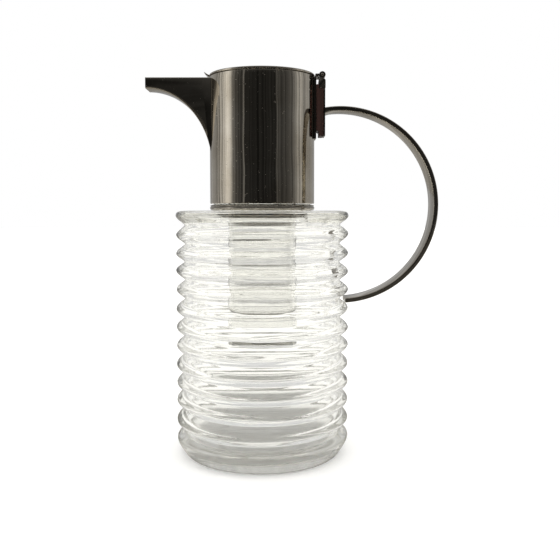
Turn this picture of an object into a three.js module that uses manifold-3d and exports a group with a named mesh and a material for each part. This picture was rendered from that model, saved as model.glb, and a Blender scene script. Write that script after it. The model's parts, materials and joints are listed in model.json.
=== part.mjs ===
// Glass water pitcher with a silver collar, channel spout, hinged lid, strap
// handle and a hanging glass ice tube. Millimetres, +Z up. The origin is on the
// glass axis at the base; +X points to the handle, -X to the spout.
import * as THREE from 'three';
import { mergeVertices } from 'three/addons/utils/BufferGeometryUtils.js';
import Module from 'manifold-3d';

const wasm = await Module();
wasm.setup();

// Clearance between pieces that touch.
const GAP = 0.3;

// Glass body.
const RIDGE_COUNT = 13;
const RIDGE_PITCH = 12.7;
const FIRST_RIDGE_Z = 12.1;
const RIDGE_R = 59.2;
const GROOVE_R = 53.2;
const RIDGE_POWER = 1.6;
const STEPS_PER_RIDGE = 4;
const BASE_R = 53.5;
const GLASS_INNER_R = 49.6;
const GLASS_FLOOR = 6;
const SHOULDER_Z = 167.4;
const SHOULDER_THICKNESS = 5;
const NECK_R = 32.6;
const NECK_INNER_R = 30;
const NECK_TOP_Z = 185.5;

// Silver collar and the ring under it.
const COLLAR_R = 35.6;
const COLLAR_WALL = 1.5;
const COLLAR_BOTTOM_Z = 172.1;
const COLLAR_TOP_Z = 257.2;
const RING_R = 35.3;
const RING_BEAD_R = 35.8;

// Spout: flat sides, curved floor, open top and tip.
const SPOUT_WIDTH = 20;
const SPOUT_SHEET = 1.2;
const SPOUT_TIP_X = -77.8;
const SPOUT_TOP_Z = 256.3;
const SPOUT_TIP_DEPTH = 7.2;
const SPOUT_REACH = 44.4;
const SPOUT_DROP = 53;
const WINDOW_WIDTH = 15;
const WINDOW_BOTTOM_Z = 214;
const WINDOW_TOP_Z = 252.5;

// Lid and hinge.
const LID_R = 35.8;
const LID_THICKNESS = 1.6;
const BEZEL_R = 33.7;
const BEZEL_WALL = 1.3;
const BEZEL_DEPTH = 2.8;
const TAB_WIDTH = 12;
const TAB_REACH = 3;
const TAB_RISE = 2.6;
const TAB_THICKNESS = 0.9;
const HINGE_X = 40.6;
const HINGE_Z = 258.5;
const KNUCKLE_R = 2.2;
const PIN_R = 0.95;
const PIN_BORE_R = 1.05;
const MIDDLE_KNUCKLE = 7.4;
const LEAF_WIDTH = 16;

// Saddle, wood block and outer plate, all of one width across the pitcher.
const BRACKET_WIDTH = 16;
const SADDLE_FACE_X = 36.6;
const SADDLE_BOTTOM_Z = 215.9;
const SADDLE_TOP_Z = 256.9;
const BLOCK_NECK_X = 38.35;
const BLOCK_FACE_X = 41.5;
const BLOCK_BOTTOM_Z = 217.7;
const BLOCK_TOP_Z = 249.4;
const BLOCK_NECK_BOTTOM_Z = 221;
const BLOCK_NECK_TOP_Z = 252.1;
const BRACKET_TOP_Z = 255.9;
const PLATE_FACE_X = 42.6;
const SCREW_R = 1.1;
const SCREW_HEAD_R = 2.1;
const SCREW_ZS = [223, 244.5];

// Strap handle: part of a ring, cut square where it meets the glass.
const HANDLE_X = 52.8;
const HANDLE_Z = 171.1;
const HANDLE_R = 66.4;
const STRAP_THICKNESS = 3.3;
const STRAP_WIDTH = 20;
const STRAP_END_X = 56.5;

// Glass ice tube and the slotted ring that holds it.
const TUBE_R = 23.5;
const TUBE_WALL = 1.9;
const TUBE_BOTTOM_Z = 86.4;
const TUBE_CORNER = 6;
const TUBE_RIM_R = 25.4;
const TUBE_RIM = 2.2;
const HOLDER_R = 33.7;
const HOLDER_BORE_R = 23.9;
const HOLDER_THICKNESS = 1.6;
const SLOT_COUNT = 10;
const SLOT_INNER_R = 26;
const SLOT_OUTER_R = 29.6;
const SLOT_SHARE = 0.62;

const ROUND = 40;
const GLASS_ROUND = 32;
const SMALL_ROUND = 20;

// ---------------------------------------------------------------- shape tools

// A closed geometry as a solid that can be joined and cut.
function toSolid(geometry) {
  const bare = geometry.clone();
  bare.deleteAttribute('normal');
  bare.deleteAttribute('uv');
  const merged = mergeVertices(bare, 1e-4);
  const corners = merged.index.array;
  const triangles = [];
  for (let i = 0; i < corners.length; i += 3) {
    const triangle = [corners[i], corners[i + 1], corners[i + 2]];
    if (new Set(triangle).size === 3) triangles.push(...triangle);
  }
  return new wasm.Manifold(new wasm.Mesh({
    numProp: 3,
    vertProperties: Float32Array.from(merged.attributes.position.array),
    triVerts: Uint32Array.from(triangles),
  }));
}

function toGeometry(solid) {
  const mesh = solid.getMesh();
  const geometry = new THREE.BufferGeometry();
  geometry.setAttribute('position', new THREE.BufferAttribute(mesh.vertProperties, 3));
  geometry.setIndex(new THREE.BufferAttribute(mesh.triVerts, 1));
  geometry.computeVertexNormals();
  return geometry;
}

// Turns a profile of [radius, height] points about the Z axis. The points run
// up the outside and down the inside.
function turned(profile, segments = ROUND) {
  const points = profile.map(([radius, height]) => new THREE.Vector2(radius, height));
  return toSolid(new THREE.LatheGeometry(points, segments).rotateX(Math.PI / 2));
}

// A ring, or a tube, between two radii and two heights.
function ring(innerR, outerR, bottomZ, topZ, segments = ROUND) {
  const profile = [[innerR, bottomZ], [outerR, bottomZ], [outerR, topZ], [innerR, topZ], [innerR, bottomZ]];
  return turned(profile, segments);
}

function disc(radius, bottomZ, topZ, segments = ROUND) {
  return turned([[0, bottomZ], [radius, bottomZ], [radius, topZ], [0, topZ]], segments);
}

// Extrudes an outline in X and Z to a width across the pitcher, centred on Y = 0.
function across(shape, width, curveSegments = 20) {
  const geometry = new THREE.ExtrudeGeometry(shape, { depth: width, bevelEnabled: false, curveSegments });
  return toSolid(geometry.translate(0, 0, -width / 2).rotateX(Math.PI / 2));
}

function outline(points) {
  return new THREE.Shape(points.map(([x, z]) => new THREE.Vector2(x, z)));
}

function box(lowX, highX, lowY, highY, lowZ, highZ) {
  const geometry = new THREE.BoxGeometry(highX - lowX, highY - lowY, highZ - lowZ);
  return toSolid(geometry.translate((lowX + highX) / 2, (lowY + highY) / 2, (lowZ + highZ) / 2));
}

// A round bar along Y.
function barAcross(radius, x, z, lowY, highY) {
  const geometry = new THREE.CylinderGeometry(radius, radius, highY - lowY, SMALL_ROUND);
  return toSolid(geometry.translate(x, (lowY + highY) / 2, z));
}

// A round bar along X, at the middle of the pitcher's width.
function barOut(radius, z, lowX, highX) {
  const geometry = new THREE.CylinderGeometry(radius, radius, highX - lowX, SMALL_ROUND);
  return toSolid(geometry.rotateZ(Math.PI / 2).translate((lowX + highX) / 2, 0, z));
}

// ------------------------------------------------------------------ materials

const silver = () => new THREE.MeshStandardMaterial({ color: 0xb9b3a6, roughness: 0.12, metalness: 1 });
const darkSilver = () => new THREE.MeshStandardMaterial({ color: 0x6f685d, roughness: 0.25, metalness: 1 });
const wood = () => new THREE.MeshStandardMaterial({ color: 0x3a1c14, roughness: 0.45, metalness: 0 });
const cement = () => new THREE.MeshStandardMaterial({ color: 0xd9d4c8, roughness: 0.9, metalness: 0 });

function glass() {
  return new THREE.MeshStandardMaterial({
    color: 0xf2f4f1, roughness: 0.03, metalness: 0, transparent: true, opacity: 0.35,
  });
}

// ----------------------------------------------------------------- glass body

function ridgeRadius(z) {
  const wave = Math.abs(Math.cos((Math.PI * (z - FIRST_RIDGE_Z)) / RIDGE_PITCH));
  return GROOVE_R + (RIDGE_R - GROOVE_R) * wave ** RIDGE_POWER;
}

function glassBody() {
  const profile = [[0, 0], [BASE_R - 3.5, 0], [BASE_R, 2], [BASE_R + 3.6, 7], [RIDGE_R - 0.8, 9.8]];
  const steps = (RIDGE_COUNT - 1) * STEPS_PER_RIDGE;
  for (let i = 0; i <= steps; i += 1) {
    const z = FIRST_RIDGE_Z + (i * RIDGE_PITCH) / STEPS_PER_RIDGE;
    profile.push([ridgeRadius(z), z]);
  }
  profile.push([RIDGE_R - 1.2, SHOULDER_Z - 1.2], [RIDGE_R - 4, SHOULDER_Z], [NECK_R, SHOULDER_Z]);
  profile.push([NECK_R, NECK_TOP_Z], [NECK_INNER_R, NECK_TOP_Z]);
  const roofZ = SHOULDER_Z - SHOULDER_THICKNESS;
  profile.push([NECK_INNER_R, roofZ], [GLASS_INNER_R - 3, roofZ], [GLASS_INNER_R, roofZ - 3]);
  profile.push([GLASS_INNER_R, GLASS_FLOOR + 5], [GLASS_INNER_R - 5, GLASS_FLOOR], [0, GLASS_FLOOR]);
  return turned(profile, GLASS_ROUND);
}

function neckCement() {
  const bottomZ = SHOULDER_Z + 5;
  return ring(NECK_R + GAP, COLLAR_R - COLLAR_WALL - GAP, bottomZ, NECK_TOP_Z);
}

// -------------------------------------------------------- collar and its ring

function collar() {
  const tube = ring(COLLAR_R - COLLAR_WALL, COLLAR_R, COLLAR_BOTTOM_Z, COLLAR_TOP_Z);
  const halfWindow = WINDOW_WIDTH / 2;
  const window = box(-COLLAR_R - 1, -COLLAR_R / 2, -halfWindow, halfWindow, WINDOW_BOTTOM_Z, WINDOW_TOP_Z);
  return tube.subtract(window);
}

function collarBaseRing() {
  const bottomZ = SHOULDER_Z + GAP;
  const topZ = COLLAR_BOTTOM_Z - GAP;
  const middleZ = (bottomZ + topZ) / 2;
  const innerR = NECK_R + GAP;
  return turned([
    [innerR, bottomZ], [RING_R, bottomZ], [RING_BEAD_R, middleZ], [RING_R, topZ], [innerR, topZ],
    [innerR, bottomZ],
  ]);
}

// ---------------------------------------------------------------------- spout

// The spout's side view, drawn in by a distance to give its inner face. The
// floor is part of an ellipse that runs from the tip down the collar.
function spoutSide(inset) {
  const shape = new THREE.Shape();
  const floorZ = SPOUT_TOP_Z - SPOUT_TIP_DEPTH;
  const openTopZ = SPOUT_TOP_Z + (inset > 0 ? 5 : 0);
  const openTipX = SPOUT_TIP_X - (inset > 0 ? 5 : 0);
  shape.moveTo(openTipX, openTopZ);
  shape.lineTo(openTipX, floorZ + inset);
  shape.lineTo(SPOUT_TIP_X, floorZ + inset);
  shape.absellipse(
    SPOUT_TIP_X, floorZ - SPOUT_DROP, SPOUT_REACH + inset, SPOUT_DROP + inset, Math.PI / 2, 0, true, 0,
  );
  shape.lineTo(0, floorZ - SPOUT_DROP);
  shape.lineTo(0, openTopZ);
  shape.closePath();
  return shape;
}

function spout() {
  const outside = across(spoutSide(0), SPOUT_WIDTH);
  const inside = across(spoutSide(SPOUT_SHEET), SPOUT_WIDTH - 2 * SPOUT_SHEET);
  const collarSpace = disc(COLLAR_R + GAP, COLLAR_BOTTOM_Z, COLLAR_TOP_Z);
  return outside.subtract(inside).subtract(collarSpace);
}

// ------------------------------------------------------------------------ lid

const LID_BOTTOM_Z = COLLAR_TOP_Z + GAP;
const LID_TOP_Z = LID_BOTTOM_Z + LID_THICKNESS;

function lidDisc() {
  const rounding = 0.5;
  return turned([
    [0, LID_BOTTOM_Z], [LID_R - rounding, LID_BOTTOM_Z], [LID_R, LID_BOTTOM_Z + rounding],
    [LID_R, LID_TOP_Z - rounding], [LID_R - rounding, LID_TOP_Z], [0, LID_TOP_Z],
  ]);
}

function lidBezel() {
  const topZ = LID_BOTTOM_Z - GAP;
  return ring(BEZEL_R - BEZEL_WALL, BEZEL_R, topZ - BEZEL_DEPTH, topZ);
}

function lidLiftTab() {
  const footX = -LID_R - GAP;
  const tab = across(outline([
    [footX + 1.2, LID_BOTTOM_Z + 0.2],
    [footX - 0.4, LID_BOTTOM_Z + 0.2],
    [footX - TAB_REACH, LID_BOTTOM_Z + TAB_RISE],
    [footX - TAB_REACH + 0.5, LID_BOTTOM_Z + TAB_RISE + TAB_THICKNESS],
    [footX + 1.2, LID_BOTTOM_Z + 0.2 + TAB_THICKNESS],
  ]), TAB_WIDTH);
  return tab.subtract(disc(LID_R + GAP, LID_BOTTOM_Z - 1, LID_TOP_Z + 1));
}

// A leaf with a knuckle at each end, which the bracket's knuckle fits between.
function lidHingeLeaf() {
  const halfLeaf = LEAF_WIDTH / 2;
  const barrel = barAcross(KNUCKLE_R, HINGE_X, HINGE_Z, -halfLeaf, halfLeaf);
  const leaf = box(LID_R - 3, HINGE_X, -halfLeaf, halfLeaf, LID_BOTTOM_Z + 0.1, LID_TOP_Z);
  const bore = barAcross(PIN_BORE_R, HINGE_X, HINGE_Z, -LEAF_WIDTH, LEAF_WIDTH);
  const halfSpace = MIDDLE_KNUCKLE / 2 + GAP;
  const reach = KNUCKLE_R + GAP;
  const middleSpace = box(
    HINGE_X - reach, HINGE_X + reach, -halfSpace, halfSpace, HINGE_Z - reach, HINGE_Z + reach,
  );
  const lidSpace = disc(LID_R + GAP, LID_BOTTOM_Z - 2, LID_TOP_Z + 2);
  return barrel.add(leaf).subtract(bore).subtract(middleSpace).subtract(lidSpace);
}

function hingePin() {
  const halfPin = LEAF_WIDTH / 2 + 0.4;
  return barAcross(PIN_R, HINGE_X, HINGE_Z, -halfPin, halfPin);
}

// ---------------------------------------------- bracket, saddle, block, plate

// A slab on the block's shoulder, with a knuckle standing on its middle.
function hingeBracket() {
  const half = BRACKET_WIDTH / 2;
  const halfKnuckle = MIDDLE_KNUCKLE / 2;
  const slab = box(BLOCK_NECK_X + GAP, PLATE_FACE_X, -half, half, BLOCK_TOP_Z + GAP, BRACKET_TOP_Z);
  const stem = box(
    HINGE_X - 1.3, HINGE_X + 1.3, -halfKnuckle, halfKnuckle, BRACKET_TOP_Z - 1, HINGE_Z - KNUCKLE_R / 2,
  );
  const knuckle = barAcross(KNUCKLE_R, HINGE_X, HINGE_Z, -halfKnuckle, halfKnuckle);
  const bore = barAcross(PIN_BORE_R, HINGE_X, HINGE_Z, -half, half);
  return slab.add(stem).add(knuckle).subtract(bore);
}

function withScrewHoles(solid) {
  return SCREW_ZS.reduce((drilled, z) => drilled.subtract(barOut(SCREW_R + GAP, z, 0, PLATE_FACE_X + 1)), solid);
}

function saddlePlate() {
  const half = BRACKET_WIDTH / 2;
  const slab = box(COLLAR_R / 2, SADDLE_FACE_X, -half, half, SADDLE_BOTTOM_Z, SADDLE_TOP_Z);
  return slab.subtract(disc(COLLAR_R + GAP, SADDLE_BOTTOM_Z - 1, SADDLE_TOP_Z + 1));
}

// A T section: the narrow neck meets the saddle, the slab carries the plate.
function handleBlock() {
  const neck = SADDLE_FACE_X + GAP;
  return withScrewHoles(across(outline([
    [neck, BLOCK_NECK_BOTTOM_Z],
    [BLOCK_NECK_X, BLOCK_NECK_BOTTOM_Z],
    [BLOCK_NECK_X, BLOCK_BOTTOM_Z],
    [BLOCK_FACE_X, BLOCK_BOTTOM_Z],
    [BLOCK_FACE_X, BLOCK_TOP_Z],
    [BLOCK_NECK_X, BLOCK_TOP_Z],
    [BLOCK_NECK_X, BLOCK_NECK_TOP_Z],
    [neck, BLOCK_NECK_TOP_Z],
  ]), BRACKET_WIDTH));
}

// The screws' wide heads lie flush in the plate.
function outerPlate() {
  const half = BRACKET_WIDTH / 2;
  const plate = box(BLOCK_FACE_X + GAP, PLATE_FACE_X, -half, half, BLOCK_BOTTOM_Z, BLOCK_TOP_Z);
  return SCREW_ZS.reduce((drilled, z) => drilled.subtract(screwHead(SCREW_HEAD_R + GAP, z, 1)), plate);
}

// A cone that narrows inwards from the plate's face.
function screwHead(radius, z, over) {
  const headTop = PLATE_FACE_X + over;
  const headBottom = BLOCK_FACE_X + GAP - over;
  const slope = (SCREW_HEAD_R - SCREW_R) / (PLATE_FACE_X - BLOCK_FACE_X - GAP);
  const topR = radius + slope * over;
  const bottomR = radius - slope * (PLATE_FACE_X - headBottom);
  const geometry = new THREE.CylinderGeometry(topR, bottomR, headTop - headBottom, SMALL_ROUND);
  return toSolid(geometry.rotateZ(-Math.PI / 2).translate((headTop + headBottom) / 2, 0, z));
}

function blockScrew(z) {
  const shank = barOut(SCREW_R, z, SADDLE_FACE_X + GAP, BLOCK_FACE_X + GAP + 0.2);
  return shank.add(screwHead(SCREW_HEAD_R, z, 0));
}

// --------------------------------------------------------------------- handle

function handleStrap() {
  const startX = PLATE_FACE_X + GAP;
  const innerR = HANDLE_R - STRAP_THICKNESS;
  const startAngle = Math.acos((startX - HANDLE_X) / HANDLE_R);
  const startAngleInner = Math.acos((startX - HANDLE_X) / innerR);
  const endAngle = -Math.acos((STRAP_END_X - HANDLE_X) / HANDLE_R);
  const endAngleInner = -Math.acos((STRAP_END_X - HANDLE_X) / innerR);
  const shape = new THREE.Shape();
  shape.absarc(HANDLE_X, HANDLE_Z, HANDLE_R, startAngle, endAngle, true);
  shape.absarc(HANDLE_X, HANDLE_Z, innerR, endAngleInner, startAngleInner, false);
  shape.closePath();
  return across(shape, STRAP_WIDTH, 40);
}

// ------------------------------------------------------ ice tube and its ring

const HOLDER_BOTTOM_Z = NECK_TOP_Z + GAP;
const HOLDER_TOP_Z = HOLDER_BOTTOM_Z + HOLDER_THICKNESS;

function iceTube() {
  const rimZ = HOLDER_TOP_Z + GAP;
  const innerR = TUBE_R - TUBE_WALL;
  const corner = (radius, z0, turn) => [
    TUBE_R - TUBE_CORNER + radius * Math.sin(turn), z0 + TUBE_CORNER - radius * Math.cos(turn),
  ];
  const outside = [];
  const inside = [];
  const turns = 3;
  for (let i = 0; i <= turns; i += 1) {
    const turn = (i / turns) * (Math.PI / 2);
    outside.push(corner(TUBE_CORNER, TUBE_BOTTOM_Z, turn));
    inside.unshift(corner(TUBE_CORNER - TUBE_WALL, TUBE_BOTTOM_Z, turn));
  }
  return turned([
    [0, TUBE_BOTTOM_Z], ...outside, [TUBE_R, rimZ], [TUBE_RIM_R, rimZ], [TUBE_RIM_R, rimZ + TUBE_RIM],
    [innerR, rimZ + TUBE_RIM], ...inside, [0, TUBE_BOTTOM_Z + TUBE_WALL],
  ]);
}

// Slots let the water past the ice tube to the spout.
function tubeHolderRing() {
  let plate = ring(HOLDER_BORE_R, HOLDER_R, HOLDER_BOTTOM_Z, HOLDER_TOP_Z);
  const halfSlot = (Math.PI / SLOT_COUNT) * SLOT_SHARE;
  for (let i = 0; i < SLOT_COUNT; i += 1) {
    const middle = (i * 2 * Math.PI) / SLOT_COUNT;
    const shape = new THREE.Shape();
    shape.absarc(0, 0, SLOT_OUTER_R, middle - halfSlot, middle + halfSlot, false);
    shape.absarc(0, 0, SLOT_INNER_R, middle + halfSlot, middle - halfSlot, true);
    shape.closePath();
    const cutter = new THREE.ExtrudeGeometry(shape, {
      depth: HOLDER_THICKNESS + 2, bevelEnabled: false, curveSegments: 3,
    });
    plate = plate.subtract(toSolid(cutter.translate(0, 0, HOLDER_BOTTOM_Z - 1)));
  }
  return plate;
}

// ------------------------------------------------------------------- assembly

const pitcher = new THREE.Group();

function addPart(name, solid, material, parent = pitcher) {
  const mesh = new THREE.Mesh(toGeometry(solid), material);
  mesh.name = name;
  parent.add(mesh);
}

addPart('glass_body', glassBody(), glass());
addPart('neck_cement', neckCement(), cement());
addPart('collar', collar(), silver());
addPart('collar_base_ring', collarBaseRing(), silver());
addPart('spout', spout(), silver());

const lid = new THREE.Group();
pitcher.add(lid);
addPart('lid_disc', lidDisc(), silver(), lid);
addPart('lid_bezel', lidBezel(), silver(), lid);
addPart('lid_lift_tab', lidLiftTab(), silver(), lid);
addPart('lid_hinge_leaf', lidHingeLeaf(), darkSilver(), lid);

addPart('hinge_pin', hingePin(), silver());
addPart('hinge_bracket', hingeBracket(), darkSilver());
addPart('saddle_plate', saddlePlate(), silver());
addPart('handle_block', handleBlock(), wood());
addPart('outer_plate', outerPlate(), darkSilver());
SCREW_ZS.forEach((z, i) => addPart(`block_screw_${i + 1}`, blockScrew(z), silver()));
addPart('handle_strap', handleStrap(), silver());
addPart('ice_tube', iceTube(), glass());
addPart('tube_holder_ring', tubeHolderRing(), silver());

export default pitcher;
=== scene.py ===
"""Looks for a ribbed glass water pitcher with a silver collar, lid, spout and strap handle."""
import bmesh
import bpy
import json
import math
import random
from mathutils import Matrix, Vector


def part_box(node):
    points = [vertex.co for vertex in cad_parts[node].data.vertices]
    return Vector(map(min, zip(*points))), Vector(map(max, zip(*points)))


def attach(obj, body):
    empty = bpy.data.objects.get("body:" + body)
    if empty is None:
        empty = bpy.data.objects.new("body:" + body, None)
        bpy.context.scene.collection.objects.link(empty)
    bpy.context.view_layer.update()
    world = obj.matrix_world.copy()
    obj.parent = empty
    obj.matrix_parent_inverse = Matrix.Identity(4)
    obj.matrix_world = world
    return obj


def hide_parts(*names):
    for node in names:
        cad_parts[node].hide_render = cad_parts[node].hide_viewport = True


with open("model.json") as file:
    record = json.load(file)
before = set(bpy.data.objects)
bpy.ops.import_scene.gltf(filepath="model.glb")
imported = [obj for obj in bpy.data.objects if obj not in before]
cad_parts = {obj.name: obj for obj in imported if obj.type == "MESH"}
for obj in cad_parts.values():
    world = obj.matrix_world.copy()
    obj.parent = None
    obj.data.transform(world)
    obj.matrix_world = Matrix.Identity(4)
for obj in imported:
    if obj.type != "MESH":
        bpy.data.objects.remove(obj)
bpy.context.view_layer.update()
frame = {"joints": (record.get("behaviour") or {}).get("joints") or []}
scene = bpy.context.scene
MM = 0.001


def node_box(node):
    """A CAD node's lowest and highest corners, in millimetres."""
    low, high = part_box(node)
    return Vector(low) / MM, Vector(high) / MM


# ------------------------------------------------------------ meshes

def add_mesh(name, vertices, faces, sharp_degrees=35):
    """A mesh object from points in millimetres, smooth except along sharp edges."""
    mesh = bpy.data.meshes.new(name)
    mesh.from_pydata([Vector(v) * MM for v in vertices], [], faces)
    mesh.validate()
    mesh.shade_smooth()
    mesh.set_sharp_from_angle(angle=math.radians(sharp_degrees))
    obj = bpy.data.objects.new(name, mesh)
    scene.collection.objects.link(obj)
    return obj


def skin(sections):
    """A closed surface's vertices and faces, through sections that are loops of as many points."""
    count = len(sections[0])
    last = (len(sections) - 1) * count
    vertices = [point for section in sections for point in section]
    faces = []
    for this in range(0, last, count):
        following = this + count
        for j in range(count):
            k = (j + 1) % count
            faces.append((this + j, this + k, following + k, following + j))
    faces.append(tuple(range(count - 1, -1, -1)))
    faces.append(tuple(range(last, last + count)))
    return vertices, faces


def turned(name, profile, segments=192, shift=None, sharp_degrees=35):
    """Turns a profile of (radius, z) about the Z axis. It goes up the outside and down the inside.

    It starts and ends on the axis, or closes on itself. shift(angle, radius, z) gives how far a
    point moves out and up."""
    on_axis = profile[0][0] == 0
    inner = profile[1:-1] if on_axis else profile
    vertices = []
    for j, (radius, z) in enumerate(inner):
        for i in range(segments):
            angle = 2 * math.pi * i / segments
            dr, dz = shift(angle, radius, z) if shift else (0, 0)
            vertices.append(((radius + dr) * math.cos(angle), (radius + dr) * math.sin(angle), z + dz))
    faces = []
    rings = len(inner) - 1 if on_axis else len(inner)
    for j in range(rings):
        low = j * segments
        high = ((j + 1) % len(inner)) * segments
        for i in range(segments):
            k = (i + 1) % segments
            faces.append((low + i, low + k, high + k, high + i))
    if on_axis:
        first, last = len(vertices), len(vertices) + 1
        vertices += [(0, 0, profile[0][1]), (0, 0, profile[-1][1])]
        top = (len(inner) - 1) * segments
        for i in range(segments):
            k = (i + 1) % segments
            faces.append((first, k, i))
            faces.append((last, top + i, top + k))
    return add_mesh(name, vertices, faces, sharp_degrees)


def prism(name, outline, low, high, along, bevel=0.25, segments=3):
    """Extrudes a 2-D outline along an axis: (y, z) along X, (x, z) along Y or (x, y) along Z."""
    point = {
        "X": lambda a, b, t: (t, a, b),
        "Y": lambda a, b, t: (a, t, b),
        "Z": lambda a, b, t: (a, b, t),
    }[along]
    count = len(outline)
    vertices = [point(a, b, t) for t in (low, high) for a, b in outline]
    faces = [(i, (i + 1) % count, count + (i + 1) % count, count + i) for i in range(count)]
    faces += [tuple(range(count - 1, -1, -1)), tuple(range(count, 2 * count))]
    obj = add_mesh(name, vertices, faces, 30)
    face_outwards(obj)
    if bevel:
        add_bevel(obj, bevel, segments)
    return obj


def face_outwards(obj):
    """Turns every face of a closed mesh to point out."""
    work = bmesh.new()
    work.from_mesh(obj.data)
    bmesh.ops.recalc_face_normals(work, faces=work.faces)
    work.to_mesh(obj.data)
    work.free()


def add_bevel(obj, width, segments=3):
    bevel = obj.modifiers.new("rounded edges", "BEVEL")
    bevel.width = width * MM
    bevel.segments = segments
    bevel.limit_method = "ANGLE"
    bevel.angle_limit = math.radians(32)
    bevel.harden_normals = True


def arc(centre_a, centre_b, radius, start, end, steps):
    """Points on an arc, from start to end in degrees."""
    points = []
    for i in range(steps + 1):
        turn = math.radians(start + (end - start) * i / steps)
        points.append((centre_a + radius * math.cos(turn), centre_b + radius * math.sin(turn)))
    return points


def rounded_rectangle(low_a, high_a, low_b, high_b, radius, steps=5):
    corners = (
        (high_a - radius, low_b + radius, -90),
        (high_a - radius, high_b - radius, 0),
        (low_a + radius, high_b - radius, 90),
        (low_a + radius, low_b + radius, 180),
    )
    return [p for a, b, start in corners for p in arc(a, b, radius, start, start + 90, steps)]


def union(name, parts):
    """Joins overlapping parts into one closed mesh."""
    base = parts[0]
    for part in parts[1:]:
        join = base.modifiers.new("join", "BOOLEAN")
        join.operation = "UNION"
        join.solver = "EXACT"
        join.object = part
    joined = bpy.data.meshes.new_from_object(base.evaluated_get(bpy.context.evaluated_depsgraph_get()))
    for part in parts:
        bpy.data.objects.remove(part, do_unlink=True)
    joined.name = name
    joined.shade_smooth()
    joined.set_sharp_from_angle(angle=math.radians(32))
    obj = bpy.data.objects.new(name, joined)
    scene.collection.objects.link(obj)
    return obj


def place(obj, body, material, slot, *nodes):
    """Gives a piece its material, its body and the CAD nodes it stands for."""
    obj.data.materials.clear()
    obj.data.materials.append(material)
    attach(obj, body)
    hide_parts(*nodes)
    return obj


# ------------------------------------------------------------ materials

class Tree:
    """A node tree with short ways to add and join nodes. A value is a number or a socket."""

    def __init__(self, tree):
        self.tree = tree

    def add(self, kind, **settings):
        node = self.tree.nodes.new(kind)
        for key, value in settings.items():
            setattr(node, key, value)
        return node

    def link(self, source, target):
        self.tree.links.new(source, target)

    def maths(self, operation, a, b=0.0):
        node = self.add("ShaderNodeMath", operation=operation)
        for socket, value in zip(node.inputs, (a, b)):
            if isinstance(value, (int, float)):
                socket.default_value = value
            else:
                self.link(value, socket)
        return node.outputs["Value"]

    def blend(self, factor, a, b):
        kept = self.maths("MULTIPLY", a, self.maths("SUBTRACT", 1.0, factor))
        return self.maths("ADD", kept, self.maths("MULTIPLY", b, factor))


class Nodes(Tree):
    """A material with a Principled shader, and its textures in the object's own space."""

    def __init__(self, name):
        self.material = bpy.data.materials.new(name)
        self.material.use_nodes = True
        super().__init__(self.material.node_tree)
        self.shader = self.tree.nodes["Principled BSDF"]
        self.place = self.add("ShaderNodeTexCoord").outputs["Object"]

    def scaled_place(self, scale):
        mapping = self.add("ShaderNodeMapping")
        mapping.inputs["Scale"].default_value = scale
        self.link(self.place, mapping.inputs["Vector"])
        return mapping.outputs["Vector"]

    def noise(self, scale, detail=3.0, roughness=0.5, stretch=(1, 1, 1)):
        noise = self.add("ShaderNodeTexNoise")
        self.link(self.scaled_place(stretch), noise.inputs["Vector"])
        noise.inputs["Scale"].default_value = scale
        noise.inputs["Detail"].default_value = detail
        noise.inputs["Roughness"].default_value = roughness
        return noise.outputs["Fac"]

    def remap(self, value, low, high, to_low, to_high):
        remap = self.add("ShaderNodeMapRange")
        self.link(value, remap.inputs["Value"])
        remap.inputs["From Min"].default_value = low
        remap.inputs["From Max"].default_value = high
        remap.inputs["To Min"].default_value = to_low
        remap.inputs["To Max"].default_value = to_high
        return remap.outputs["Result"]

    def mix(self, factor, colour_a, colour_b):
        mix = self.add("ShaderNodeMix", data_type="RGBA")
        self.link(factor, mix.inputs["Factor"])
        for socket, colour in ((mix.inputs[6], colour_a), (mix.inputs[7], colour_b)):
            if isinstance(colour, tuple):
                socket.default_value = (*colour, 1)
            else:
                self.link(colour, socket)
        return mix.outputs[2]

    def bump(self, height, distance, strength, onto=None):
        bump = self.add("ShaderNodeBump")
        bump.inputs["Strength"].default_value = strength
        bump.inputs["Distance"].default_value = distance
        self.link(height, bump.inputs["Height"])
        if onto is not None:
            self.link(onto, bump.inputs["Normal"])
        return bump.outputs["Normal"]


def silver(name, bright, dull, low_rough, high_rough):
    """Silver plate: gently beaten, with cloudy tarnish, fine scratches, scuffs and small bright specks."""
    n = Nodes(name)
    tarnish = n.remap(n.noise(28, 5, 0.6), 0.42, 0.68, 0, 1)
    specks = n.remap(n.noise(600, 2, 0.6), 0.66, 0.72, 0, 1)
    n.link(n.mix(specks, n.mix(tarnish, bright, dull), bright), n.shader.inputs["Base Color"])
    scratches = n.noise(420, 2, 0.7, (1, 1, 0.06))
    scuffs = n.remap(n.noise(190, 4, 0.7), 0.6, 0.72, 0, 1)
    fine = n.remap(scratches, 0.35, 0.75, low_rough, high_rough)
    rough = n.maths("ADD", fine, n.maths("MULTIPLY", scuffs, 0.1))
    n.link(n.maths("ADD", rough, n.maths("MULTIPLY", specks, 0.4)), n.shader.inputs["Roughness"])
    n.shader.inputs["Metallic"].default_value = 1
    waves = n.bump(n.noise(16, 2, 0.45), 0.0015, 0.8)
    n.link(n.bump(scratches, 0.00001, 0.25, waves), n.shader.inputs["Normal"])
    return n.material


GLASS_GREY = (0.772, 0.766, 0.721)


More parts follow.
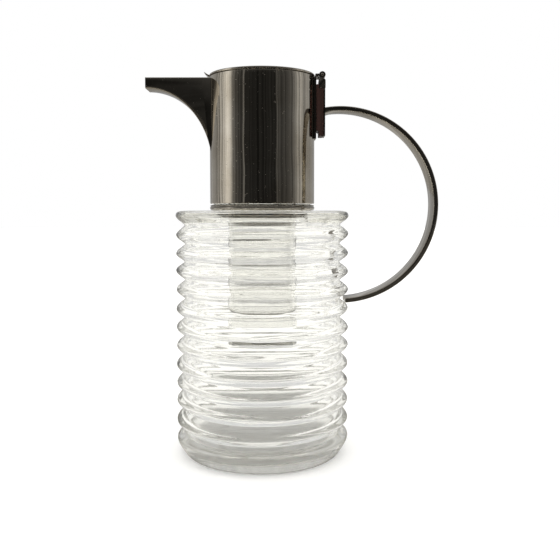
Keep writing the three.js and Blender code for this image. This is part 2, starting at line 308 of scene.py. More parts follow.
def clear_glass(name, tint, wave_scale, wave_height, density):
    """Clear hand-finished glass, slightly wavy, that greys the light where it is thick."""
    n = Nodes(name)
    n.shader.inputs["Base Color"].default_value = (*tint, 1)
    n.shader.inputs["Transmission Weight"].default_value = 1
    n.shader.inputs["IOR"].default_value = 1.48
    n.link(n.remap(n.noise(60, 4, 0.6), 0.4, 0.8, 0.0, 0.05), n.shader.inputs["Roughness"])
    n.link(n.bump(n.noise(wave_scale, 2, 0.5, (1, 1, 3)), wave_height, 0.5), n.shader.inputs["Normal"])
    absorption = n.add("ShaderNodeVolumeAbsorption")
    absorption.inputs["Color"].default_value = (*GLASS_GREY, 1)
    absorption.inputs["Density"].default_value = density
    n.link(absorption.outputs["Volume"], n.tree.nodes["Material Output"].inputs["Volume"])
    return n.material


def dark_wood(name):
    """Oiled dark reddish-brown hardwood with its grain upright."""
    n = Nodes(name)
    grain = n.noise(90, 6, 0.65, (1, 1, 0.09))
    pores = n.remap(n.noise(900, 3, 0.6, (1, 1, 0.05)), 0.55, 0.7, 0, 1)
    colour = n.mix(n.remap(grain, 0.35, 0.65, 0, 1), (0.012, 0.0045, 0.003), (0.04, 0.0125, 0.0075))
    n.link(n.mix(pores, colour, (0.012, 0.006, 0.005)), n.shader.inputs["Base Color"])
    n.link(n.remap(grain, 0.3, 0.7, 0.28, 0.45), n.shader.inputs["Roughness"])
    n.link(n.bump(pores, 0.00008, -0.5, n.bump(grain, 0.0001, 0.4)), n.shader.inputs["Normal"])
    n.shader.inputs["Specular IOR Level"].default_value = 0.35
    return n.material


def setting_cement(name):
    """Pale matt plaster cement with grit."""
    n = Nodes(name)
    grit = n.noise(700, 5, 0.7)
    n.link(n.mix(grit, (0.72, 0.69, 0.62), (0.5, 0.47, 0.41)), n.shader.inputs["Base Color"])
    n.shader.inputs["Roughness"].default_value = 0.9
    n.link(n.bump(grit, 0.0002, 0.8), n.shader.inputs["Normal"])
    return n.material


RING_SILVER = silver("duller ring silver", (0.33, 0.305, 0.262), (0.2, 0.18, 0.148), 0.06, 0.16)
SILVER = silver("polished silver", (0.5, 0.457, 0.385), (0.38, 0.337, 0.268), 0.03, 0.1)
# A darker, rougher copy of the silver for the hinge and the plates: its darker colour is painted shade,
# standing in for the dark reflections these parts show.
SHADED_SILVER = silver("darker silver with painted shade", (0.25, 0.225, 0.19), (0.14, 0.125, 0.1), 0.12, 0.3)
GLASS = clear_glass("clear ribbed glass", (0.99, 0.99, 0.985), 40, 0.0003, 12)
TUBE_GLASS = clear_glass("clear tube glass", (0.97, 0.97, 0.962), 30, 0.0002, 90)
WOOD = dark_wood("dark rosewood")
CEMENT = setting_cement("neck cement")

# ------------------------------------------------------------ glass body

RIDGE_COUNT = 13
RIDGE_PITCH = 12.7
FIRST_RIDGE_Z = 12.1
RIDGE_DEPTH = 6.0
SHOULDER_Z = 167.4
NECK_R = 32.6
NECK_INNER_R = 30.0
CREST_R = node_box("glass_body")[1].x
NECK_TOP_Z = node_box("glass_body")[1].z


def glass_body():
    """Thirteen rounded ridges, blown so that the inside follows the outside more softly."""
    groove_r = CREST_R - RIDGE_DEPTH
    floor_z = 7.0
    roof_z = SHOULDER_Z - 4.5
    chance = random.Random(11)
    lift = [chance.uniform(-0.55, 0.55) for _ in range(RIDGE_COUNT + 1)]
    lean = [(chance.uniform(0.15, 0.55), chance.uniform(0, 2 * math.pi)) for _ in range(RIDGE_COUNT + 1)]

    def wave(z, power):
        return abs(math.cos(math.pi * (z - FIRST_RIDGE_Z) / RIDGE_PITCH)) ** power

    last_ridge_z = FIRST_RIDGE_Z + (RIDGE_COUNT - 1) * RIDGE_PITCH
    steps = 18
    ridge_zs = [FIRST_RIDGE_Z + RIDGE_PITCH * i / steps for i in range((RIDGE_COUNT - 1) * steps + 1)]

    outside = [(0, 0), (30, 0), (48, 0), (50.4, 0.25), (52.2, 0.9), (53.6, 2.0), (55.0, 4.0), (56.6, 6.4)]
    outside += [(CREST_R - 1.4, 8.3), (CREST_R - 0.5, 10.0)]
    outside += [(groove_r + RIDGE_DEPTH * wave(z, 1.3), z) for z in ridge_zs]
    outside += [(CREST_R - 0.5, last_ridge_z + 1.4), (CREST_R - 1.7, last_ridge_z + 2.3)]
    outside += [(CREST_R - 3.6, SHOULDER_Z - 0.25), (CREST_R - 6, SHOULDER_Z), (NECK_R + 2, SHOULDER_Z)]
    outside += [(NECK_R + 0.5, SHOULDER_Z + 0.2), (NECK_R, SHOULDER_Z + 1), (NECK_R, NECK_TOP_Z - 0.5)]

    inside = [(NECK_R - 0.5, NECK_TOP_Z), (NECK_INNER_R + 0.5, NECK_TOP_Z)]
    inside += [(NECK_INNER_R, NECK_TOP_Z - 0.5), (NECK_INNER_R, roof_z + 1.5)]
    inside += [(NECK_INNER_R + 0.5, roof_z + 0.4), (NECK_INNER_R + 2, roof_z)]
    inside += [(48, roof_z), (51, roof_z - 0.4), (52.6, roof_z - 1.6)]
    inner_groove_r = groove_r - 3.0
    for z in reversed(ridge_zs):
        if floor_z + 7 < z < roof_z - 3:
            inside.append((inner_groove_r + 3.6 * wave(z, 2), z))
    inside += [(50.2, floor_z + 6), (49, floor_z + 3.2), (46.5, floor_z + 1.2), (43, floor_z + 0.2)]
    inside += [(30, floor_z + 0.9), (15, floor_z + 1.8), (0, floor_z + 2.1)]

    def shift(angle, radius, z):
        """Each ridge sits a little high or low, tilts a little and is a little out of round."""
        if radius < NECK_R + 3 or z < 4:
            return 0, 0
        place = max(0.0, min(RIDGE_COUNT - 1e-6, (z - FIRST_RIDGE_Z) / RIDGE_PITCH))
        k = int(place)
        blend = place - k
        up = lift[k] * (1 - blend) + lift[k + 1] * blend
        for share, (size, turn) in ((1 - blend, lean[k]), (blend, lean[k + 1])):
            up += share * size * math.cos(angle - turn)
        fade = min(1.0, (SHOULDER_Z - z) / 8, (z - 4) / 6) if z < SHOULDER_Z else 0.0
        out = -0.16 + 0.16 * math.cos(3 * angle + 1.7 * k + z * 0.05)
        return out * max(0.0, fade), up * max(0.0, fade)

    return turned("ribbed_glass_body", outside + inside, 224, shift, 60)


# ------------------------------------------------------------ ice tube and its ring

TUBE_LOW, TUBE_HIGH = node_box("ice_tube")
TUBE_R = 23.5
TUBE_WALL = 1.9


def ice_tube():
    corner = 4.0
    floor_thickness = 3.0
    inner_r = TUBE_R - TUBE_WALL
    bottom = TUBE_LOW.z
    rim_z = TUBE_HIGH.z - 2.2
    rim_r = TUBE_HIGH.x
    outside = [(0, bottom), (8, bottom)]
    outside += arc(TUBE_R - corner, bottom + corner, corner, -90, 0, 10)
    outside += [(TUBE_R, rim_z - 1), (TUBE_R + 0.3, rim_z - 0.2), (rim_r - 0.6, rim_z)]
    outside += arc(rim_r - 0.9, rim_z + 1.1, 0.9, -60, 80, 6)
    inside = arc(inner_r + 0.8, TUBE_HIGH.z - 0.8, 0.8, 100, 180, 4)
    inside += arc(inner_r - 2.2, bottom + floor_thickness + 2.2, 2.2, 0, -90, 8)
    inside += [(8, bottom + floor_thickness), (0, bottom + floor_thickness)]

    def shift(angle, radius, z):
        return (0.12 * math.cos(2 * angle + 0.6) if radius > 15 else 0), 0

    return turned("ice_tube_glass", outside + inside, 128, shift, 60)


def tube_holder_ring():
    """A flat silver ring with pouring slots and a rolled inner edge."""
    low, high = node_box("tube_holder_ring")
    ring_r = high.x
    bore_r = 23.9
    slots, slot_share = 10, 0.62
    slot_low_r, slot_high_r = 26.0, 29.6
    per_slot = 16
    angles = [2 * math.pi * i / (slots * per_slot) for i in range(slots * per_slot)]
    radii = [bore_r, bore_r + 0.25, slot_low_r, slot_high_r, ring_r - 0.25, ring_r]
    drop = [0.25, 0, 0, 0, 0, 0.25]
    half = slot_share * per_slot / 2

    def is_slot(i, j):
        position = (i + per_slot / 2) % per_slot - per_slot / 2 + 0.5
        return j == 2 and abs(position) < half

    vertices = []
    for z, sign in ((high.z, -1), (low.z, 1)):
        for radius, inset in zip(radii, drop):
            vertices += [(radius * math.cos(a), radius * math.sin(a), z + sign * inset) for a in angles]
    turn = len(angles)
    layer = turn * len(radii)

    def at(side, j, i):
        return side * layer + j * turn + i % turn

    faces = []
    for j in range(len(radii) - 1):
        for i in range(turn):
            k = i + 1
            if is_slot(i, j):
                if not is_slot(i - 1, j):
                    faces.append((at(0, j, i), at(0, j + 1, i), at(1, j + 1, i), at(1, j, i)))
                if not is_slot(k, j):
                    faces.append((at(0, j + 1, k), at(0, j, k), at(1, j, k), at(1, j + 1, k)))
                faces.append((at(0, j, k), at(0, j, i), at(1, j, i), at(1, j, k)))
                faces.append((at(0, j + 1, i), at(0, j + 1, k), at(1, j + 1, k), at(1, j + 1, i)))
                continue
            faces.append((at(0, j, i), at(0, j + 1, i), at(0, j + 1, k), at(0, j, k)))
            faces.append((at(1, j, k), at(1, j + 1, k), at(1, j + 1, i), at(1, j, i)))
    last = len(radii) - 1
    for i in range(turn):
        faces.append((at(0, 0, i), at(0, 0, i + 1), at(1, 0, i + 1), at(1, 0, i)))
        faces.append((at(0, last, i + 1), at(0, last, i), at(1, last, i), at(1, last, i + 1)))
    return add_mesh("slotted_tube_ring", vertices, faces)


# ------------------------------------------------------------ collar, ring, cement

COLLAR_LOW, COLLAR_HIGH = node_box("collar")
COLLAR_R = COLLAR_HIGH.x
COLLAR_WALL = 1.5
WINDOW_LOW_Z = 214.0
WINDOW_HIGH_Z = 252.5


def collar():
    """A straight tube with rolled edges and a window behind the spout."""
    columns = 180
    window_columns = 6
    inner_r = COLLAR_R - COLLAR_WALL
    roll = 0.35
    zs = [COLLAR_LOW.z + 0.4, 190, WINDOW_LOW_Z, 230, WINDOW_HIGH_Z, COLLAR_HIGH.z - roll]
    outer = [(COLLAR_R, z) for z in zs]
    top = arc(COLLAR_R - roll, COLLAR_HIGH.z - roll, roll, 0, 90, 4)[1:]
    top += arc(inner_r + roll, COLLAR_HIGH.z - roll, roll, 90, 180, 4)[:-1]
    inner = [(inner_r, z) for z in reversed(zs)]
    bottom = [(inner_r + 0.4, COLLAR_LOW.z), (COLLAR_R - 0.4, COLLAR_LOW.z)]
    profile = outer + top + inner + bottom
    low_row, high_row = 2, 4
    inner_start = len(outer) + len(top)
    inner_low = inner_start + len(zs) - 1 - low_row
    inner_high = inner_start + len(zs) - 1 - high_row
    vertices = []
    for radius, z in profile:
        for i in range(columns):
            angle = 2 * math.pi * i / columns
            vertices.append((radius * math.cos(angle), radius * math.sin(angle), z))
    middle = columns // 2
    cut = range(middle - window_columns, middle + window_columns)

    def at(row, column):
        return (row % len(profile)) * columns + column % columns

    faces = []
    for row in range(len(profile)):
        in_window = low_row <= row < high_row or inner_high <= row < inner_low
        for column in range(columns):
            if not (in_window and column in cut):
                beside = column + 1
                faces.append((at(row, column), at(row, beside), at(row + 1, beside), at(row + 1, column)))
    for row, back, flip in ((low_row, inner_low, False), (high_row, inner_high, True)):
        for column in cut:
            beside = column + 1
            face = (at(row, column), at(row, beside), at(back, beside), at(back, column))
            faces.append(face[::-1] if flip else face)
    for column, flip in ((cut[0], True), (cut[-1] + 1, False)):
        for step in range(high_row - low_row):
            row, back = low_row + step, inner_low - step
            face = (at(row, column), at(back, column), at(back - 1, column), at(row + 1, column))
            faces.append(face[::-1] if flip else face)
    obj = add_mesh("silver_collar", vertices, faces, 40)
    face_outwards(obj)
    return obj


def collar_base_ring():
    low, high = node_box("collar_base_ring")
    inner_r = NECK_R + 0.3
    bead_r = high.x
    height = high.z - low.z
    profile = [(inner_r, low.z), (bead_r - 1.0, low.z), (bead_r - 0.35, low.z + 0.12 * height)]
    profile += arc(bead_r - 1.15, low.z + 0.38 * height, 1.15, -32, 50, 6)
    profile += [(bead_r - 0.62, low.z + 0.68 * height)]
    profile += arc(bead_r - 0.75, low.z + 0.78 * height, 0.45, -40, 80, 5)
    profile += [(inner_r + 0.6, high.z - 0.3), (inner_r, high.z)]
    return turned("collar_base_ring_beads", profile, 192, None, 40)


def neck_cement():
    low, high = node_box("neck_cement")
    inner_r = NECK_R + 0.3
    profile = [(inner_r, low.z), (inner_r + 0.8, low.z - 0.1), (high.x, low.z + 0.3), (high.x, high.z)]
    profile += [(inner_r + 0.6, high.z), (inner_r, high.z - 0.2)]

    def shift(angle, radius, z):
        return 0, 0.12 * math.sin(9 * angle) + 0.08 * math.cos(23 * angle)

    return turned("neck_cement_ring", profile, 160, shift, 40)


# ------------------------------------------------------------ spout

SPOUT_LOW, SPOUT_HIGH = node_box("spout")
SPOUT_SHEET = 1.2
SPOUT_TIP_DEPTH = 7.2
SPOUT_REACH = 44.4
SPOUT_DROP = 53.0


def spout():
    """A flat-sided channel: floor on an ellipse, open top and tip, soft lower edges."""
    tip_x, top_z = SPOUT_LOW.x, SPOUT_HIGH.z
    half = SPOUT_HIGH.y
    floor_tip_z = top_z - SPOUT_TIP_DEPTH
    centre_z = floor_tip_z - SPOUT_DROP
    root_x = -math.sqrt(COLLAR_R ** 2 - half ** 2) + 0.4
    end_turn = math.asin((root_x - tip_x) / SPOUT_REACH) if root_x - tip_x < SPOUT_REACH else math.pi / 2
    stations = 72
    roll = 1.3
    rim = SPOUT_SHEET / 2

    def floor_point(turn, inset):
        return (
            tip_x + (SPOUT_REACH + inset) * math.sin(turn),
            centre_z + (SPOUT_DROP + inset) * math.cos(turn),
        )

    sections = []
    for i in range(stations + 1):
        share = i / stations
        turn = end_turn * share
        outer_x, outer_z = floor_point(turn, 0)
        inner_x, inner_z = floor_point(turn, SPOUT_SHEET)
        inner_x = min(inner_x, root_x + 0.6)
        rim_x = tip_x + (root_x - tip_x) * share

        def beside(y, depth, base_x, base_z):
            """A point on a wall, depth from the rim (0) to the floor (1)."""
            return (rim_x + (base_x - rim_x) * depth, y, top_z + (base_z - top_z) * depth)

        section = []
        outer_corner = min(0.45, roll / max(2.0, top_z - outer_z))
        inner_corner = outer_corner * 0.4
        for side in (-1, 1):
            wall = []
            for step in range(7):
                angle = math.pi * step / 6
                y = side * (half - rim + rim * math.cos(angle))
                lift = rim * math.sin(angle) - rim
                wall.append((rim_x, y, top_z + lift))
            outer_wall = []
            for step in range(6):
                angle = (math.pi / 2) * step / 5
                y = side * (half - roll * (1 - math.cos(angle)))
                outer_wall.append(beside(y, 1 - outer_corner * (1 - math.sin(angle)), outer_x, outer_z))
            inner_wall = []
            inner_half = half - SPOUT_SHEET
            small = roll * 0.5
            for step in range(4):
                angle = (math.pi / 2) * step / 3
                y = side * (inner_half - small * (1 - math.cos(angle)))
                inner_wall.append(beside(y, 1 - inner_corner * (1 - math.sin(angle)), inner_x, inner_z))
            if side < 0:
                section += outer_wall[::-1] + wall + inner_wall
            else:
                section += inner_wall[::-1] + wall[::-1] + outer_wall
        sections.append(section)
    vertices, faces = skin(sections)
    obj = add_mesh("channel_spout", vertices, faces, 38)
    face_outwards(obj)
    return obj


# ------------------------------------------------------------ lid

LID_LOW, LID_HIGH = node_box("lid_disc")
LID_R = LID_HIGH.x


def lid_disc():
    """A thin lid with a softly rounded edge and a faint turned line near it."""
    top, bottom = LID_HIGH.z, LID_LOW.z
    profile = [(0, bottom), (LID_R - 0.6, bottom)]
    profile += arc(LID_R - 0.55, bottom + 0.55, 0.55, -60, 0, 4)
    profile += arc(LID_R - 0.7, top - 0.7, 0.7, 0, 80, 6)
    profile += [(LID_R - 2.2, top - 0.02), (LID_R - 2.5, top - 0.16), (LID_R - 2.8, top - 0.02)]
    profile += [(LID_R - 6, top), (12, top), (0, top)]
    return turned("flat_silver_lid", profile, 192, None, 30)


def lid_bezel():
    low, high = node_box("lid_bezel")
    outer_r = high.x
    inner_r = outer_r - 1.3
    profile = [(inner_r + 0.3, low.z), (outer_r - 0.3, low.z), (outer_r, low.z + 0.3), (outer_r, high.z)]
    profile += [(inner_r, high.z), (inner_r, low.z + 0.3)]
    return turned("lid_locating_ring", profile, 160, None, 40)


def lid_lift_tab():
    """A small lip that curls up from the lid's edge, with rounded corners."""
    low, high = node_box("lid_lift_tab")
    half = high.y
    foot_x, tip_x = -LID_R + 0.6, low.x
    foot_z, tip_z = low.z + 0.1, high.z
    thickness = 0.9
    sections = []
    stations = 14
    for i in range(stations + 1):
        share = i / stations
        x = foot_x + (tip_x - foot_x) * share
        z = foot_z + (tip_z - thickness * 0.6 - foot_z) * share ** 1.7
        rounding = max(0.0, (share - 0.55) / 0.45)
        width = half * math.sqrt(max(0.02, 1 - 0.75 * rounding ** 3))
        thin = thickness * (1 - 0.35 * share) / 2
        loop = rounded_rectangle(-width, width, z, z + 2 * thin, thin * 0.95, 3)
        sections.append([(x, a, b) for a, b in loop])
    vertices, faces = skin(sections)
    obj = add_mesh("lid_lift_lip", vertices, faces, 50)
    face_outwards(obj)
    return obj


# ------------------------------------------------------------ hinge

HINGE = Vector(next(j for j in frame["joints"] if j["name"] == "lid_hinge")["pos_m"]) / MM
KNUCKLE_R = 2.2
MIDDLE_KNUCKLE = 7.4
BRACKET_TOP_Z = 255.9
BLOCK_NECK_X = 38.35
BLOCK_TOP_Z = 249.4
NECK_LOW_Z = 221.0
NECK_HIGH_Z = 252.1


def barrel(name, low_y, high_y):
    """A hinge knuckle: a short bar along Y with softened ends."""
    return prism(name, arc(HINGE.x, HINGE.z, KNUCKLE_R, 0, 352.5, 47), low_y, high_y, "Y", 0.3, 3)


def lid_hinge_leaf():
    """The lid's tongue, rolled into a knuckle at each end."""
    low, high = node_box("lid_hinge_leaf")
    gap_y = MIDDLE_KNUCKLE / 2 + 0.3
    parts = []
    tongue_low, tongue_high = LID_LOW.z + 0.1, LID_HIGH.z
    for low_y, high_y in ((low.y, -gap_y), (gap_y, high.y)):
        parts.append(barrel("end knuckle", low_y, high_y))
        strip = [
            (HINGE.x - KNUCKLE_R - 0.5, tongue_low), (HINGE.x - 0.6, tongue_low),
            (HINGE.x - 0.6, tongue_high), (HINGE.x - KNUCKLE_R - 0.5, tongue_high),
        ]
        parts.append(prism("strip", strip, low_y + 0.03, high_y - 0.03, "Y", 0.05, 1))
    tongue = [
        (LID_R + 0.15, tongue_low), (HINGE.x - KNUCKLE_R - 0.32, tongue_low),
        (HINGE.x - KNUCKLE_R - 0.32, tongue_high), (LID_R + 0.15, tongue_high),
    ]
    parts.append(prism("tongue", tongue, low.y + 0.03, high.y - 0.03, "Y", 0.2, 2))
    return union("lid_tongue_and_knuckles", parts)


def hinge_pin():
    low, high = node_box("hinge_pin")
    pin_r = (high.z - low.z) / 2
    half = high.y
    sections = []
    for y, share in ((-half, 0.55), (-half + 0.12, 0.82), (-half + 0.35, 1), (half - 0.35, 1),
                     (half - 0.12, 0.82), (half, 0.55)):
        sections.append([(a, y, b) for a, b in arc(HINGE.x, HINGE.z, pin_r * share, 0, 350, 35)])
    vertices, faces = skin(sections)
    obj = add_mesh("domed_hinge_pin", vertices, faces, 50)
    face_outwards(obj)
    return obj


def hinge_bracket():
    """A slab on the block's shoulder with a round outer corner and a knuckle on its middle."""
    low, high = node_box("hinge_bracket")
    slab_top = BRACKET_TOP_Z
    corner = 1.3
    outline = [(low.x, low.z), (high.x, low.z)] + arc(high.x - corner, slab_top - corner, corner, 0, 90, 6)
    outline += [(low.x, slab_top)]
    stem = [
        (HINGE.x - 1.5, slab_top - 0.8), (HINGE.x + 1.2, slab_top - 0.8), (HINGE.x + 1.5, HINGE.z - 1),
        (HINGE.x - 1.5, HINGE.z - 1),
    ]
    half_knuckle = MIDDLE_KNUCKLE / 2
    parts = [
        prism("bracket slab", outline, low.y, high.y, "Y", 0.25, 3),
        prism("stem", stem, -half_knuckle + 0.05, half_knuckle - 0.05, "Y", 0.1, 1),
        barrel("middle knuckle", -half_knuckle, half_knuckle),
    ]
    return union("hinge_bracket_and_knuckle", parts)


# ------------------------------------------------------------ saddle, block, plate, screws

def saddle_plate():
    """A plate with a hollow face that fits the collar."""
    low, high = node_box("saddle_plate")
    seat_r = COLLAR_R + 0.15
    reach = math.degrees(math.asin(high.y / seat_r))
    outline = [(high.x, -high.y), (high.x, high.y)] + arc(0, 0, seat_r, reach, -reach, 24)
    return prism("saddle_on_collar", outline, low.z, high.z, "Z", 0.25, 3)


def handle_block():
    """The T-shaped wood block between saddle and plate."""
    low, high = node_box("handle_block")
    waist = 0.9
    outline = [(low.x - 0.3, NECK_LOW_Z)]
    outline += arc(BLOCK_NECK_X - waist, NECK_LOW_Z - waist, waist, 90, 0, 5)
    outline += [
        (BLOCK_NECK_X, low.z), (high.x, low.z), (high.x, BLOCK_TOP_Z), (BLOCK_NECK_X, BLOCK_TOP_Z),
        (BLOCK_NECK_X, NECK_HIGH_Z), (low.x - 0.3, NECK_HIGH_Z),
    ]
    return prism("rosewood_block", outline, low.y, high.y, "Y", 0.35, 4)


def outer_plate():
    low, high = node_box("outer_plate")
    outline = rounded_rectangle(low.y, high.y, low.z, high.z, 1.0, 6)
    return prism("plate_on_block", outline, low.x - 0.3, high.x, "X", 0.22, 3)


def block_screw(number):
    """A slotted screw whose head stands just proud of the plate."""
    low, high = node_box(f"block_screw_{number}")
    z = (low.z + high.z) / 2
    head_r = (high.y - low.y) / 2
    slot_half = 0.3
    tilt = math.radians(20 + 47 * number)
    disc = prism("disc", arc(0, z, head_r, 0, 350, 35), high.x - 0.5, high.x - 0.12, "X", 0.05, 1)
    parts = [disc]
    for side in (0, math.pi):
        start = math.asin(slot_half / head_r)
        outline = []
        for i in range(19):
            turn = start + (math.pi - 2 * start) * i / 18 + side + tilt
            outline.append((head_r * 0.97 * math.cos(turn), z + head_r * 0.97 * math.sin(turn)))
        parts.append(prism("half head", outline, high.x - 0.3, high.x + 0.25, "X", 0.15, 3))
    return union(f"slotted_screw_{number}", parts)


# ------------------------------------------------------------ handle

HANDLE_LOW, HANDLE_HIGH = node_box("handle_strap")
HANDLE_R = 66.4
STRAP_THICKNESS = 3.3
HANDLE_CENTRE = Vector((HANDLE_HIGH.x - HANDLE_R, 0, HANDLE_HIGH.z - HANDLE_R))


def handle_strap():
    """A flat strap bent to a ring, with rounded long edges and a thicker soldered root."""
    half = HANDLE_HIGH.y
    middle_r = HANDLE_R - STRAP_THICKNESS / 2
    start = math.acos((HANDLE_LOW.x - 0.35 - HANDLE_CENTRE.x) / middle_r)
    end_x = 56.5
    end = -math.acos((end_x - HANDLE_CENTRE.x) / middle_r)
    stations = 150
    edge = 0.6
    sections = []
    for i in range(stations + 1):
        share = i / stations
        turn = start + (end - start) * share
        distance = (start - turn) * middle_r
        root = 0.55 * max(0.0, 1 - distance / 5.0) ** 2
        low_r = -STRAP_THICKNESS / 2 - root
        high_r = STRAP_THICKNESS / 2
        loop = rounded_rectangle(-half, half, low_r, high_r, edge, 6)
        section = []
        for y, out in loop:
            crown = -0.12 * (y / half) ** 2 if out > 0 else 0.12 * (y / half) ** 2
            radius = middle_r + out + crown
            x = HANDLE_CENTRE.x + radius * math.cos(turn)
            z = HANDLE_CENTRE.z + radius * math.sin(turn)
            if i == 0:
                x = HANDLE_LOW.x - 0.3
            if i == stations:
                x = end_x
            section.append((x, y, z))
        sections.append(section)
    vertices, faces = skin(sections)
    obj = add_mesh("round_strap_handle", vertices, faces, 40)
    face_outwards(obj)
    return obj


# ------------------------------------------------------------ build the pieces

place(glass_body(), "pitcher", GLASS, "clear_glass", "glass_body")
place(neck_cement(), "pitcher", CEMENT, "cement", "neck_cement")
place(collar(), "pitcher", SILVER, "silver", "collar")
place(collar_base_ring(), "pitcher", RING_SILVER, "silver", "collar_base_ring")
place(spout(), "pitcher", SILVER, "silver", "spout")
place(tube_holder_ring(), "pitcher", SILVER, "silver", "tube_holder_ring")
place(ice_tube(), "ice_tube", TUBE_GLASS, "clear_glass", "ice_tube")
place(lid_disc(), "lid", SILVER, "silver", "lid_disc")
place(lid_bezel(), "lid", SILVER, "silver", "lid_bezel")
place(lid_lift_tab(), "lid", SILVER, "silver", "lid_lift_tab")
place(lid_hinge_leaf(), "lid", SHADED_SILVER, "dark_silver", "lid_hinge_leaf")
place(hinge_pin(), "pitcher", SILVER, "silver", "hinge_pin")
place(hinge_bracket(), "pitcher", SHADED_SILVER, "dark_silver", "hinge_bracket")
place(saddle_plate(), "pitcher", SHADED_SILVER, "dark_silver", "saddle_plate")
place(handle_block(), "pitcher", WOOD, "dark_wood", "handle_block")
place(outer_plate(), "pitcher", SHADED_SILVER, "dark_silver", "outer_plate")
for screw in (1, 2):
    place(block_screw(screw), "pitcher", SILVER, "silver", f"block_screw_{screw}")
place(handle_strap(), "pitcher", SILVER, "silver", "handle_strap")

# ------------------------------------------------------------ camera, floor and light

IMAGE_SIZE = 560
FOCAL_PX = 740
CAMERA_PLACE = Vector((12.2, -510.6, 169.1)) * MM
CAMERA_PITCH = math.radians(4)
CAMERA_SHIFT_PX = -20


def add_camera():
    data = bpy.data.cameras.new("camera")
    data.sensor_width = 36
    data.lens = data.sensor_width * FOCAL_PX / IMAGE_SIZE
    data.shift_y = CAMERA_SHIFT_PX / IMAGE_SIZE
    camera = bpy.data.objects.new("camera", data)
    camera.location = CAMERA_PLACE
    camera.rotation_euler = (math.pi / 2 - CAMERA_PITCH, 0, 0)
    scene.collection.objects.link(camera)
    scene.camera = camera


# Brightness of the studio round the horizon, by degrees from behind the camera
# towards the handle: a dark room behind the camera, soft lamps at the sides, a
# paler sweep behind the pitcher.
HORIZON = (
    (-180, 0.36), (-160, 0.4), (-142, 0.42), (-126, 0.42), (-112, 0.36), (-100, 0.6),
    (-90, 0.95), (-76, 1.3), (-67, 0.45), (-58, 0.11), (-50, 0.075), (-40, 0.08),
    (-38.6, 0.32), (-37, 0.045), (-29, 0.028), (0, 0.024), (27, 0.028), (32, 0.045),
    (33.5, 0.25), (35, 0.07), (56, 0.085), (72, 0.17), (82, 0.42), (92, 0.55),
    (110, 0.4), (126, 0.44), (140, 0.43), (160, 0.4), (180, 0.36),
)
FOLD_SCALE = 70
FOLD_DEPTH = 2.4
HORIZON_ENDS = 16
OVERHEAD_STARTS = 60
OVERHEAD = 0.38
# Light that falls on matt surfaces, and how far light through glass is lifted towards white.
FLOOR_LIGHT = 1.75
THROUGH_GLASS = 0.6
FLOOR_RADIUS = 6000
FLOOR_DROP = 0.05
# How much of the studio's brightness is painted into the floor's colour where metal mirrors it, and its
# limits: painted reflection and shade.
MIRRORED_FLOOR_SHARE = 0.5
MIRRORED_FLOOR_LOW = 0.035
MIRRORED_FLOOR_HIGH = 0.6


def horizon(tree, place):
    """The studio's brightness in the direction of a place, with uneven folds as of drapes."""
    split = tree.add("ShaderNodeSeparateXYZ")
    tree.link(place, split.inputs["Vector"])
    bearing = tree.maths("ARCTAN2", split.outputs["X"], tree.maths("MULTIPLY", split.outputs["Y"], -1.0))
    around = tree.maths("ADD", tree.maths("DIVIDE", bearing, 2 * math.pi), 0.5)
    ramp = tree.add("ShaderNodeValToRGB")
    tree.link(around, ramp.inputs["Fac"])
    stops = ramp.color_ramp.elements
    stops.remove(stops[1])
    for i, (degrees, level) in enumerate(HORIZON):
        stop = stops.new((degrees + 180) / 360) if i else stops[0]
        stop.color = (level, level, level, 1)
    drapes = tree.add("ShaderNodeTexNoise", noise_dimensions="1D")
    tree.link(around, drapes.inputs["W"])
    drapes.inputs["Scale"].default_value = FOLD_SCALE
    drapes.inputs["Detail"].default_value = 6
    folds = tree.maths("MULTIPLY", drapes.outputs["Fac"], FOLD_DEPTH)
    folds = tree.maths("ADD", folds, 1 - FOLD_DEPTH / 2)
    return tree.maths("MULTIPLY", ramp.outputs["Color"], folds)


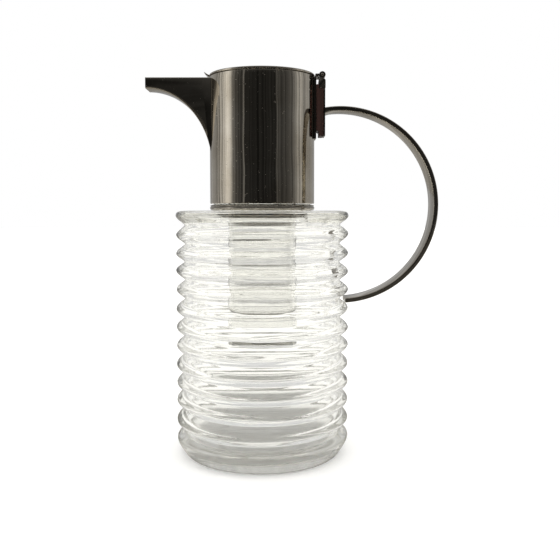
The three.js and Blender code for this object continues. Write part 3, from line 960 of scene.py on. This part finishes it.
def add_floor():
    """A pale floor. Where metal mirrors it, its colour is painted with the studio's lamps and dark room:
    painted reflection and shade. Seen through glass, it is painted a beige-grey shade.
    """
    ring = arc(0, 0, FLOOR_RADIUS, 0, 355, 71)
    obj = add_mesh("floor", [(x, y, -FLOOR_DROP) for x, y in ring], [tuple(range(len(ring)))])
    n = Nodes("pale floor")
    pale = n.mix(n.noise(30, 3), (0.93, 0.925, 0.905), (0.91, 0.905, 0.885))
    # Painted reflection: for rays that metal mirrors, the floor's colour takes on the studio's lamps and
    # dark room.
    painted_mirror_light = n.maths("MULTIPLY", horizon(n, n.place), MIRRORED_FLOOR_SHARE)
    painted_mirror_light = n.maths("MINIMUM", n.maths("ADD", painted_mirror_light, MIRRORED_FLOOR_LOW), MIRRORED_FLOOR_HIGH)
    path = n.add("ShaderNodeLightPath").outputs
    not_through_glass = n.maths("SUBTRACT", 1.0, path["Is Transmission Ray"])
    mirrored = n.maths("MULTIPLY", path["Is Glossy Ray"], not_through_glass)
    floor_with_painted_mirror_light = n.mix(mirrored, pale, n.mix(painted_mirror_light, (0, 0, 0), (1, 0.96, 0.88)))
    # Painted shade: rays through glass see the floor a beige-grey, darker than the pale floor the camera
    # sees.
    n.link(n.mix(path["Is Transmission Ray"], floor_with_painted_mirror_light, (0.84, 0.832, 0.79)), n.shader.inputs["Base Color"])
    n.shader.inputs["Roughness"].default_value = 0.8
    n.shader.inputs["Specular IOR Level"].default_value = 0.1
    obj.data.materials.append(n.material)


def add_studio():
    """Soft light all round: the camera and the floor see it white, metal mirrors the lamps and the room."""
    world = bpy.data.worlds.new("studio")
    scene.world = world
    world.use_nodes = True
    v = Tree(world.node_tree)
    direction = v.add("ShaderNodeTexCoord").outputs["Generated"]
    split = v.add("ShaderNodeSeparateXYZ")
    v.link(direction, split.inputs["Vector"])
    high = v.add("ShaderNodeMapRange", interpolation_type="SMOOTHSTEP")
    v.link(split.outputs["Z"], high.inputs["Value"])
    high.inputs["From Min"].default_value = math.sin(math.radians(HORIZON_ENDS))
    high.inputs["From Max"].default_value = math.sin(math.radians(OVERHEAD_STARTS))
    room = v.blend(high.outputs["Result"], horizon(v, direction), OVERHEAD)
    path = v.add("ShaderNodeLightPath").outputs
    level = v.blend(path["Is Transmission Ray"], room, v.blend(THROUGH_GLASS, room, 1.0))
    level = v.blend(v.maths("MINIMUM", path["Diffuse Depth"], 1.0), level, FLOOR_LIGHT)
    level = v.blend(path["Is Camera Ray"], level, 1.0)
    v.link(level, world.node_tree.nodes["Background"].inputs["Color"])


GLASS_BOUNCES = 32
MIRROR_BOUNCES = 24

add_camera()
add_floor()
add_studio()
scene.view_settings.view_transform = "Standard"
# Light goes back and forth inside the thick glass many times before it leaves.
scene.cycles.max_bounces = GLASS_BOUNCES
scene.cycles.transmission_bounces = GLASS_BOUNCES
scene.cycles.glossy_bounces = MIRROR_BOUNCES
